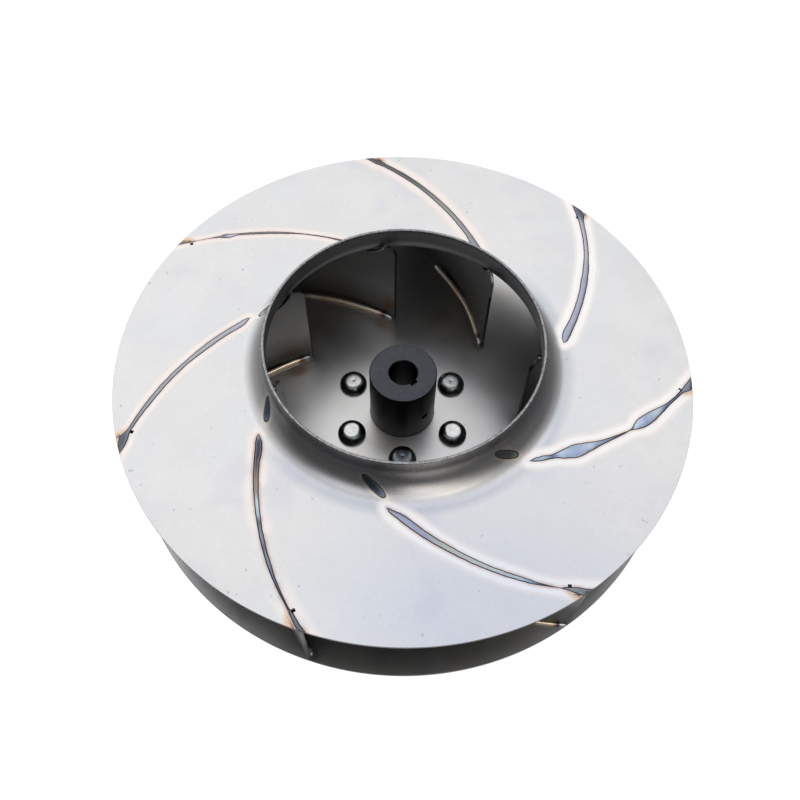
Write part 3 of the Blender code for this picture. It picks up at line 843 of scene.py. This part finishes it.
def make_shroud(material):
    mesh = cut(turned_mesh("front_shroud", shroud_outline(), 600), notch_cutters())
    x, y, z = vertices(mesh).T
    radius = np.hypot(x, y)
    on_wall = radius < THROAT + 0.0005
    flare = (radius < FILLET[0]) & (z < FILLET[1])
    flare &= np.hypot(radius - FILLET[0], z - FILLET[1]) > FILLET_OUTSIDE + 0.001
    under = (z < DECK - 0.001) | on_wall | flare
    gap, straw, number = seam_gap(x, y)
    gap = np.where(radius > THROAT + SHEET + 0.0003, gap, FAR)
    halo_gap = np.where(gap < FAR, gap * np.array(HALO_NARROWING)[number], FAR)
    on_ring = (z > DECK - 0.0002) & (radius > FILLET[0] - 0.003)
    set_values(mesh, seam_gap=gap, halo_gap=halo_gap, straw=np.where(on_ring, straw, 0.0))
    far_wall = (y > 0.02) & (x > -0.07)
    set_values(mesh, spot_gap=np.where(under & ~far_wall, FAR, spot_gap(radius, z, x, y)))
    set_values(mesh, spot_halo=np.where(under, FAR, spot_gap(radius, z, x, y, 0.6)))
    turn = np.degrees(np.arctan2(y, x))
    # Painted reflection: where the ring shows the collar as a cooler band
    late = np.interp(turn, (-100, -85, -35, -20), (0, 1, 1, 0)) * np.clip((0.1155 - radius) / 0.003, 0, 1)
    cool = np.interp(radius, (0.106, 0.112, 0.1145, 0.1175, 0.121), (0, 1, 1, 0.6, 0))
    cool = cool * (1 - late) * np.interp(turn, (-145, -130, 30, 45), (0, 1, 1, 0))
    # Painted highlight on the near side of the fillet
    glow = np.exp(-(((radius - 0.1025) / 0.0026) ** 2) - ((turn + 87) / 9) ** 2)
    set_values(mesh, cool=np.where(under, 0.0, cool), glow=np.where(under, 0.0, glow))
    # Painted shade on the left of the collar's inner wall and low on its far side, painted light on the
    # right and high on the far side
    tone = np.interp(x, (-THROAT, 0, THROAT), (0.6, 0.85, 1.4))
    tone = tone * np.where(y > 0, np.interp(z, (0.096, 0.106), (0.78, 1.3)), 1.0)
    set_values(mesh, wall_tone=np.where(on_wall, tone, 1.0), under=under)
    set_values(mesh, **{name: np.array(values)[number] for name, values in SHEET_LOOKS.items()})
    set_values(mesh, lip=np.clip((z - COLLAR_TOP + 0.0007) / 0.0002, 0, 1))
    set_values(mesh, turned=np.clip((0.1165 - radius) / 0.002, 0, 1), profile=(z - radius) * 1000)
    show("sheet_front_shroud", mesh, 35, material, "shroud_steel", "front_shroud")


def burns_at(burns, blade, along, across):
    """How burnt the sheet is, at mm along a blade's arc and mm across."""
    total = np.zeros(len(along))
    for number, middle, offset, half_length, half_width, strength in burns:
        if number == blade:
            out = ((along - middle) / half_length) ** 2 + ((across - offset) / half_width) ** 2
            total = np.maximum(total, strength * np.exp(-out))
    return total


def foot_values(x, y):
    """mm to the nearest foot bead, and how burnt the sheet is at its ends."""
    nearest = np.full(len(x), FAR)
    burnt = np.zeros(len(x))
    tail = FOOT_SPANS[1][0]
    for blade in range(BLADES):
        along, outside = arc_coordinates(x, y, blade)
        for start, end in FOOT_SPANS:
            beyond = np.maximum(np.maximum(start - along, along - end), 0)
            nearest = np.minimum(nearest, np.maximum(np.hypot(beyond, outside + 2.6) - 1.5, 0))
        at_tail = 0.8 * np.exp(-((along - tail - 6) ** 2 / 50 + (outside + 5.5) ** 2 / 8))
        burnt = np.maximum(np.maximum(burnt, at_tail), burns_at(PLATE_BURNS, blade, along, outside))
    return nearest, burnt


def rivet_places():
    angles = [RIVET_TURN + number * TURN / 6 for number in range(6)]
    return [Matrix.Translation((math.cos(a) * RIVET_CIRCLE, math.sin(a) * RIVET_CIRCLE, 0)) for a in angles]


def rivet_cutters():
    """Clearance holes, countersunk from the rear."""
    outline = [(0, 0.014), (0.0063, 0.014), (0.0063, 0.00312), (0.01142, -0.002), (0, -0.002)]
    cutters = []
    for number, place in enumerate(rivet_places()):
        cutters.append(turned_mesh(f"rivet_hole_{number}", outline, 40, closed=False))
        cutters[-1].transform(place)
    return cutters


def make_plate(material):
    low, high = PLATE
    hole = BOSS + 0.0003
    outline = [(hole, high)]
    outline += [(r, high) for r in np.arange(0.030, 0.070, 0.008)]
    outline += [(r, high) for r in np.arange(0.0713, RIM - 0.001, 0.0018)]
    outline += rim_outline(high, low, 0.0003)
    outline += [(r, low) for r in np.linspace(RIM - 0.006, 0.032, 18)]
    outline += [(hole, low)]
    mesh = cut(turned_mesh("back_plate", outline, 480), rivet_cutters())
    x, y, z = vertices(mesh).T
    gap, burnt = foot_values(x, y)
    above = z > high - 0.0005
    # Painted shade near the rim except at the left, painted light on the far side, and two painted shadows,
    # one beside the hub and one farther right
    near_rim = np.clip((np.hypot(x, y) - 0.178) / 0.006, 0, 1) * np.clip((x + 0.09) / 0.03, 0, 1)
    level = (1 - 0.3 * near_rim) * np.interp(y, (0.0, 0.055), (1.0, 1.15))
    for depth, across, back, size in ((0.2, -0.021, -0.032, 0.012), (0.25, 0.085, -0.003, 0.010)):
        level = level * (1 - depth * np.exp(-((x - across) ** 2 + (y - back) ** 2) / size**2))
    set_values(mesh, foot_gap=np.where(above, gap, FAR), burn=np.where(above, burnt, 0.0))
    set_values(mesh, shade=np.where(above, level, 1.0))
    show("sheet_back_plate", mesh, 35, material, "plate_steel", "back_plate")


def on_screw_line(distance):
    """The place over the key, at a distance from the axis, with z pointing outwards."""
    place = Matrix.Translation((0, 0, SCREW_HEIGHT)) @ Matrix.Rotation(KEY_ANGLE, 4, "Z")
    return place @ Matrix.Rotation(math.pi / 2, 4, "Y") @ Matrix.Translation((0, 0, distance))


def make_hub(material):
    bevel = 0.0008
    edge, step = FLANGE
    outline = arc_outline((BOSS - bevel, HUB_TOP - bevel), bevel, 90, 0, 4)
    outline += [(BOSS, step + 0.0005), (BOSS, step), (0.0421, step)]
    outline += arc_outline((edge - bevel, step - bevel), bevel, 90, 0, 4)
    outline += arc_outline((edge - bevel, bevel), bevel, 0, -90, 4)
    outline += [(0.040, 0.0), (0.020, 0.0), (BORE + bevel, 0.0), (BORE, bevel)]
    outline += [(BORE, HUB_TOP - bevel), (BORE + bevel, HUB_TOP), (0.0175, HUB_TOP)]
    along_key = Matrix.Rotation(KEY_ANGLE, 4, "Z")
    keyway = box_cutter("keyway", (0, -0.003, -0.002), (BORE + 0.0028, 0.003, HUB_TOP + 0.002), along_key)
    hole = round_cutter("screw_hole", 0.003, 0, BOSS + 0.002, 40, on_screw_line(0))
    mesh = cut(turned_mesh("hub", outline, 160), [keyway, hole, *rivet_cutters()])
    x, y, z = vertices(mesh).T
    radius = np.hypot(x, y)
    # Where the painted shade falls: the sides and the bore
    set_values(mesh, profile=(radius + z) * 1000, side=z < HUB_TOP - 0.0002)
    set_values(mesh, bore=(radius < BORE + 0.003) & (z < HUB_TOP - 0.0001))
    show("turned_hub", mesh, 30, material, "blackened_steel", "hub")


def make_set_screw(material):
    radius, length, recess = 0.0027, 0.009, 0.0006
    outline = [(0, 0), (radius - 0.0003, 0), (radius, -0.0003)]
    outline += [(radius, -length + 0.0006), (radius - 0.0006, -length), (0, -length)]
    socket = round_cutter("socket", 0.003 / math.sqrt(3), -0.003, 0.002, 6, Matrix.Identity(4))
    mesh = cut(turned_mesh("set_screw", outline, 40, closed=False), [socket])
    mesh.transform(on_screw_line(BOSS - recess))
    show("socket_set_screw", mesh, 30, material, "blackened_steel", "set_screw")


def make_rivets(material):
    seat = PLATE[1] + 0.0003
    top, base = seat + 0.0065, seat + 0.0008
    power = 2 / 2.05
    outline = [(0, top - 0.00014), (0.0006, top - 0.00012), (0.0012, top - 0.00003)]
    outline += [(0.0018, top), (0.0034, top)]
    for turn in np.radians(np.linspace(5, 90, 18)):
        out, rise = math.sin(turn) ** power, math.cos(turn) ** power
        outline.append((0.0041 + 0.0064 * out, base + (top - base) * rise))
    outline += [(0.0105, seat + 0.0002), (0.0103, seat), (0.006, seat)]
    outline += [(0.006, 0.003), (0.0087, 0.0003), (0, 0.0003)]
    for number, place in enumerate(rivet_places()):
        mesh = turned_mesh(f"rivet_{number + 1}", outline, 56, closed=False)
        x, y, z = vertices(mesh).T
        set_values(mesh, from_middle=np.where(z > seat, np.hypot(x, y) * 1000, 0.0))
        set_values(mesh, dull=np.full(len(x), RIVET_DULLNESS[number]))
        mesh.transform(place @ Matrix.Rotation(number * 1.1, 4, "Z"))
        show(f"headed_rivet_{number + 1}", mesh, 40, material, "rivet_steel", f"hub_rivet_{number + 1}")


def blade_top(radius):
    clear = FILLET_OUTSIDE + SHEET
    reach = np.maximum(0, FILLET[0] - radius - 0.001)
    drop = np.sqrt(np.maximum(0, clear**2 - reach**2))
    return np.minimum(DECK + 0.013, FILLET[1] - drop)


def make_blades(material):
    start, end = (float(along_at(radius)) for radius in BLADE_ENDS)
    at_nose = start + np.array([0, 0.25, 0.6, 1.1, 1.8, 2.7, 3.8, 5.0, 6.0])
    along = np.concatenate([at_nose, np.linspace(start + 7, end, 110)])
    x, y = arc_place(along, 0)
    corner = 0.006
    short = np.maximum(0, 6.0 - (along - start)) / 1000
    top = blade_top(np.hypot(x, y)) - (corner - np.sqrt(corner**2 - short**2))
    low = PLATE[1]
    middle = np.concatenate([np.linspace(0.16, 0.64, 9), np.linspace(0.68, 0.92, 13)])
    share = np.concatenate([np.linspace(0, 0.12, 4), middle, (0.95, 0.975, 0.988, 1)])
    points = np.empty((len(along), len(share), 3))
    points[:, :, 0] = x[:, None]
    points[:, :, 1] = y[:, None]
    points[:, :, 2] = low + (top - low)[:, None] * share
    along = np.repeat(along, len(share))
    (nose_first, nose_last), (tail_first, _) = FOOT_SPANS
    beyond = np.maximum(np.maximum(nose_first - along, along - nose_last), 0)
    before_tail = np.maximum(tail_first - along, 0)
    sheet = {"thickness": SHEET, "offset": 0, "use_even_offset": True}
    bevel = {"width": 0.00025, "segments": 2, "limit_method": "ANGLE", "angle_limit": math.radians(50)}
    for blade in range(BLADES):
        mesh = grid_mesh(f"blade_{blade + 1}", points)
        z = vertices(mesh)[:, 2]
        height = (z - low) * 1000
        foot_gap = np.minimum(np.hypot(beyond, height), np.hypot(before_tail, height))
        top_gap = np.repeat(top * 1000, len(share)) - z * 1000
        # Where the nose edge and the top corner get their painted shade
        nose_gap = along - start + np.clip((height - 63) / 6, 0, 1) * (1.5 if blade == 3 else 0.2)
        corner_gap = np.where((along - start < 9) & (blade != 3), top_gap + 0.2, FAR)
        set_values(mesh, foot_gap=foot_gap, top_gap=top_gap, nose_gap=np.minimum(nose_gap, corner_gap))
        set_values(mesh, burn=burns_at(BLADE_BURNS, blade, along, height))
        # Painted shade: darker towards the foot and, low down, towards the tail; each blade painted lighter
        # or darker by its own factor
        tail_shade = 0.75 * np.clip((along - 100) / 15, 0, 1) * np.clip(2.6 - height / 20, 0, 1)
        foot_tone = FOOT_TONES[blade]
        rising = np.interp(height, (0, 12, 36), (min(0.38, foot_tone), foot_tone, 1.0))
        set_values(mesh, shade=rising * (1 - tail_shade) * BLADE_TONES[blade])
        mesh.transform(Matrix.Rotation(blade * STEP, 4, "Z"))
        solid = modified(mesh, [("SOLIDIFY", sheet), ("BEVEL", bevel)])
        show(f"sheet_blade_{blade + 1}", solid, 35, material, "blade_steel", f"blade_{blade + 1}")


def tint_at(along, stops):
    """The base colour along a weld, from colours as they are seen."""
    stops = np.array(stops, float)
    return np.stack([np.interp(along, stops[:, 0], lin(stops[:, c])) for c in (1, 2, 3)], 1) / SKY


def make_seams(material):
    """The fused welds over the blades, in the outline that each one has."""
    crosswise = np.sin(np.linspace(-1, 1, 15) * math.pi / 2)
    share = np.concatenate([[0, 0.002, 0.005, 0.009, 0.014], np.linspace(0.02, 1, 200)])
    for blade in range(BLADES):
        start = EDGES[blade][0][0]
        path = np.linspace(start, SEAM_END, 700)
        rows, inside = [], []
        for side in crosswise:
            high, low = edges_at(blade, path)
            x, y = arc_place(path, (high + low) / 2 + side * (high - low) / 2)
            reach = path[np.hypot(x, y) < RIM - 0.0003].max()
            along = start + (reach - start) * share
            high, low = edges_at(blade, along)
            half = (high - low) / 2
            x, y = arc_place(along, (high + low) / 2 + side * half, blade)
            rise = np.clip(half / 2.4, 0.25, 1.15) * 0.62 * (1 - side * side) ** 0.55
            rise = rise * np.clip((1 - share) / 0.012, 0.35, 1)
            rows.append(np.stack([x, y, DECK - 0.00012 + rise / 1000], 1))
            inside.append(np.minimum(half * (1 - abs(side)), (along - start) * 0.7))
        top = np.array(rows)
        bottom = top[::-1].copy()
        bottom[:, :, 2] = DECK - 0.0004
        mesh = lens_mesh(f"seam_{blade + 1}", top, bottom, inside)
        along = np.tile(start + (TINT_END - start) * share, 2 * len(crosswise))
        tint = tint_at(along, TINTS[blade])
        grey = tint.mean(1, keepdims=True)
        set_values(mesh, along=along)
        set_tint(mesh, np.clip((grey + 0.78 * (tint - grey)) * 1.4, 0, 0.95))
        show(f"fused_seam_{blade + 1}", mesh, 60, material, "weld_blue_grey", f"shroud_weld_{blade + 1}")


def make_throat_spots(material):
    """A lens of fused metal where each blade passes under the fillet."""
    sunk = 0.0005
    share = np.sin(np.linspace(-1, 1, 45) * math.pi / 2) * 0.9995
    crosswise = np.sin(np.linspace(-1, 1, 13) * math.pi / 2)
    narrowing = (1 - np.abs(share) ** SPOT_ROUNDNESS) ** (1 / SPOT_ROUNDNESS)
    lighter = np.tile(2.4 * (1 + 1.3 * np.clip((share - 0.35) / 0.6, 0, 1)), 2 * len(crosswise))
    for blade, spot in enumerate(SPOTS):
        middle, axis, half_length = spot_axis(blade)
        half = spot[4] * narrowing
        rows, inside = [], []
        for side in crosswise:
            rise = 0.22 * (1 - side * side) ** 0.6 * np.clip(narrowing, 0.2, 1) / 1000 - 0.00012
            turn = middle[0] + axis[0] * share * half_length - axis[1] * side * half
            turn = turn / 1000 / FILLET_OUTSIDE
            angle = middle[1] + axis[1] * share * half_length + axis[0] * side * half
            angle = angle / SPOT_PLACE + blade * STEP
            r = FILLET[0] + (FILLET_OUTSIDE - rise) * np.cos(turn)
            z = FILLET[1] + (FILLET_OUTSIDE - rise) * np.sin(turn)
            rows.append(np.stack([r * np.cos(angle), r * np.sin(angle), z], 1))
            inside.append(half * (1 - abs(side)))
        top = np.array(rows)
        low = top[::-1].copy()
        away = np.hypot(low[:, :, 0], low[:, :, 1])
        low[:, :, :2] *= (1 + (away - FILLET[0]) / FILLET_OUTSIDE * sunk / away)[:, :, None]
        low[:, :, 2] += (low[:, :, 2] - FILLET[1]) / FILLET_OUTSIDE * sunk
        mesh = lens_mesh(f"throat_spot_{blade + 1}", top, low, inside)
        set_values(mesh, along=np.tile(share * 10, 2 * len(crosswise)))
        set_tint(mesh, lighter[:, None] * lin(spot[5]) / SKY)
        show(f"throat_spot_{blade + 1}", mesh, 60, material, "weld_blue_grey", f"throat_weld_{blade + 1}")


def blade_turned(points, blade):
    x, y = rotated(points[:, 0], points[:, 1], blade * STEP)
    return np.stack([x, y, points[:, 2]], 1)


def bead_path(along, offset, height, rise, way=1):
    """A bead's middle line, and the directions away from the joint; way is -1 outside the blade."""
    x, y = arc_place(along, offset)
    inward = np.stack([ARC_CENTRE[0] - x, ARC_CENTRE[1] - y], 1)
    inward /= np.linalg.norm(inward, axis=1)[:, None] * way
    return np.stack([x, y, height], 1), np.column_stack([inward, np.full(len(x), rise)])


def make_foot_beads(material):
    """Fillet beads on the hollow side, at the nose and at the tail."""
    sides = 18
    for place, (near, far, count, stops) in FOOT_BEADS.items():
        for blade in range(BLADES):
            reach = far + 0.008 if (place, blade) == ("nose", 3) else far
            start, end = float(along_at(near)), float(along_at(reach))
            along = np.linspace(start, end, count)
            shape = np.abs(along - (start + end) / 2) / ((end - start) / 2)
            shape = np.sqrt(np.clip(1 - shape**14, 0.02, 1))
            uneven = soft(np.random.default_rng(blade + 40).normal(0, 0.04, count), 5)
            radii = 0.0019 * shape * (1 + uneven)
            wander = np.array(WANDER.get((place, blade), ((0, 0),)), float)
            offset = np.interp(along, wander[:, 0], wander[:, 1]) - (1.0 + 1.2)
            tubes = []
            for way, size in ((1, 1.0), (-1, 0.72)) if (place, blade) == ("tail", 0) else ((1, 1.0),):
                height = np.full(count, PLATE[1] + 0.0010)
                path = bead_path(along, offset * way * size, height, 1.0, way)
                centres, normals = (blade_turned(part, blade) for part in path)
                tubes.append(tube_mesh(f"{place}_bead_{blade + 1}", centres, radii * size, sides, normals))
            rings = sides * len(tubes)
            mesh = joined(tubes)
            set_values(mesh, along=np.tile(along, rings))
            set_tint(mesh, np.tile(np.clip(tint_at(along - start, stops) * 1.7, 0, 0.97), (rings, 1)))
            name = f"{place}_foot_bead_{blade + 1}"
            show(name, mesh, 60, material, "weld_straw", f"{place}_foot_weld_{blade + 1}")


def make_ear_beads(material):
    """A short bead inside the throat, where each blade's top corner meets the collar."""
    sides, count = 14, 50
    radius = np.linspace(0.0925, 0.1035, count)
    along = along_at(radius)
    path = bead_path(along, -(1.0 + 0.8), blade_top(radius) - 0.0006, -0.6)
    radii = 0.0015 * np.sqrt(np.clip(1 - np.linspace(-1, 1, count) ** 6, 0.02, 1))
    for blade, tone in enumerate(EAR_TONES):
        centres, normals = (blade_turned(part, blade) for part in path)
        mesh = tube_mesh(f"ear_bead_{blade + 1}", centres, radii, sides, normals, 0.4)
        set_values(mesh, along=np.tile(along, sides))
        set_tint(mesh, np.tile(lin(tone) / SKY, (sides * count, 1)))
        show(f"ear_bead_{blade + 1}", mesh, 60, material, "weld_blue_grey")


# Surroundings


def make_sky():
    """A broad bright sky behind and above, a warm lamp over the front, and a dim front."""
    world = bpy.data.worlds.new("studio")
    bpy.context.scene.world = world
    world.use_nodes = True
    nodes = Nodes(world.node_tree)
    calc, product, ramp = nodes.calc, nodes.product, nodes.ramp
    place = nodes.add("ShaderNodeTexCoord").outputs["Generated"]

    def towards(*direction):
        node = nodes.add("ShaderNodeVectorMath", {"operation": "DOT_PRODUCT"})
        nodes.set(node, 0, place)
        nodes.set(node, 1, Vector(direction).normalized())
        return node.outputs["Value"]

    def levels(value, brightest, pairs):
        node = nodes.add("ShaderNodeValToRGB", Fac=value)
        for index, (position, level) in enumerate(pairs):
            stop = node.color_ramp.elements[index] if index < 2 else node.color_ramp.elements.new(position)
            stop.position = position
            stop.color = (*[level / brightest] * 3, 1)
        return product(node.outputs["Color"], brightest)

    across, up, ahead = towards(1, 0, 0), towards(0, 0, 1), towards(0, -1, 0)
    height = calc("MAXIMUM", towards(0, 0.45, 0.89), 0.0)
    pairs = (
        (0.0, 0.06), (1.0, 1.09), (0.40, 0.148), (0.50, 0.23), (0.59, 0.27), (0.70, 0.60),
        (0.80, 0.61), (0.90, 1.11), (0.955, 1.15),
    )
    sky = product(levels(height, 1.25, pairs), ramp(across, 0.43, 0.48, 1.0, 0.61))
    dip = ramp(towards(0.12, 0.22, 0.95), 0.975, 0.996, 0.0, 0.40)
    lamp = product(ramp(across, 0.046, 0.133, 0.0, 1.0), ramp(across, -0.06, 0.834, 1.0, 0.0))
    lamp = product(lamp, ramp(ahead, 0.122, 0.274, 0.0, 1.0))
    lamp = product(lamp, ramp(up, 0.113, 0.692, 0.0, 1.53))
    left = ramp(towards(-0.82, 0.53, 0.20), 0.62, 0.92, 0.0, 0.226)
    fill = ramp(towards(-0.26, -0.32, 0.68), 0.95, 1.0, 0.0, 0.54)
    front = product(ramp(across, 0.1, 0.4, 0.0, 0.064), ramp(up, 0.2, 0.6, 1.0, 0.0))
    below = ramp(up, -0.9, -0.5, 0.30, 0.0)
    base = calc("ADD", calc("ADD", calc("ADD", sky, left), calc("ADD", front, below)), fill)
    parts = []
    for cooler, warmer in ((1.0, 1.0), (0.79, 0.95), (0.31, 0.87)):
        parts.append(calc("ADD", calc("SUBTRACT", base, product(dip, cooler)), product(lamp, warmer)))
    background = world.node_tree.nodes["Background"]
    nodes.set(background, "Color", nodes.channels(*parts))
    nodes.set(background, "Strength", SKY / 1.2)


def make_floor():
    mesh = bpy.data.meshes.new("floor")
    mesh.from_pydata([(-4, -4, 0), (4, -4, 0), (4, 4, 0), (-4, 4, 0)], [], [(0, 1, 2, 3)])
    material = bpy.data.materials.new("white_sweep")
    material.use_nodes = True
    sockets = material.node_tree.nodes["Principled BSDF"].inputs
    sockets["Base Color"].default_value = (0.2, 0.2, 0.2, 1)
    sockets["Roughness"].default_value = 1.0
    sockets["Specular IOR Level"].default_value = 0.0
    sockets["Emission Color"].default_value = (1, 1, 1, 1)
    sockets["Emission Strength"].default_value = 0.96
    floor = new_object("floor", mesh, material)
    floor.visible_glossy = False
    floor.visible_diffuse = False


def make_camera():
    tilt, roll = math.radians(59.0558), math.radians(1.42952)
    right = Vector((1, 0, 0))
    down = Vector((0, -math.sin(tilt), -math.cos(tilt)))
    ahead = Vector((0, math.cos(tilt), -math.sin(tilt)))
    x = right * math.cos(roll) - down * math.sin(roll)
    y = right * math.sin(roll) + down * math.cos(roll)
    data = bpy.data.cameras.new("camera")
    data.sensor_width = 36
    data.lens = 37.0608
    data.clip_start, data.clip_end = 0.01, 50
    data.shift_x, data.shift_y = -0.00015, 0.0005
    camera = new_object("camera", data)
    matrix = Matrix((x, -y, -ahead)).transposed().to_4x4()
    matrix.translation = (-0.00174029, -0.32152943, 0.55992285)
    camera.matrix_world = matrix
    bpy.context.scene.camera = camera


def main():
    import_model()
    shroud, plate, blade = shroud_steel(), plate_steel(), blade_steel()
    weld, bead = weld_metal(), bead_metal()
    make_shroud(shroud)
    make_plate(plate)
    make_hub(blackened_steel())
    make_set_screw(screw_steel())
    make_rivets(rivet_steel())
    make_blades(blade)
    make_seams(weld)
    make_throat_spots(weld)
    make_foot_beads(bead)
    make_ear_beads(bead)
    make_sky()
    make_floor()
    make_camera()
    view = bpy.context.scene.view_settings
    view.view_transform = "Standard"
    view.look = "None"
    view.exposure = 0
    view.gamma = 1


main()
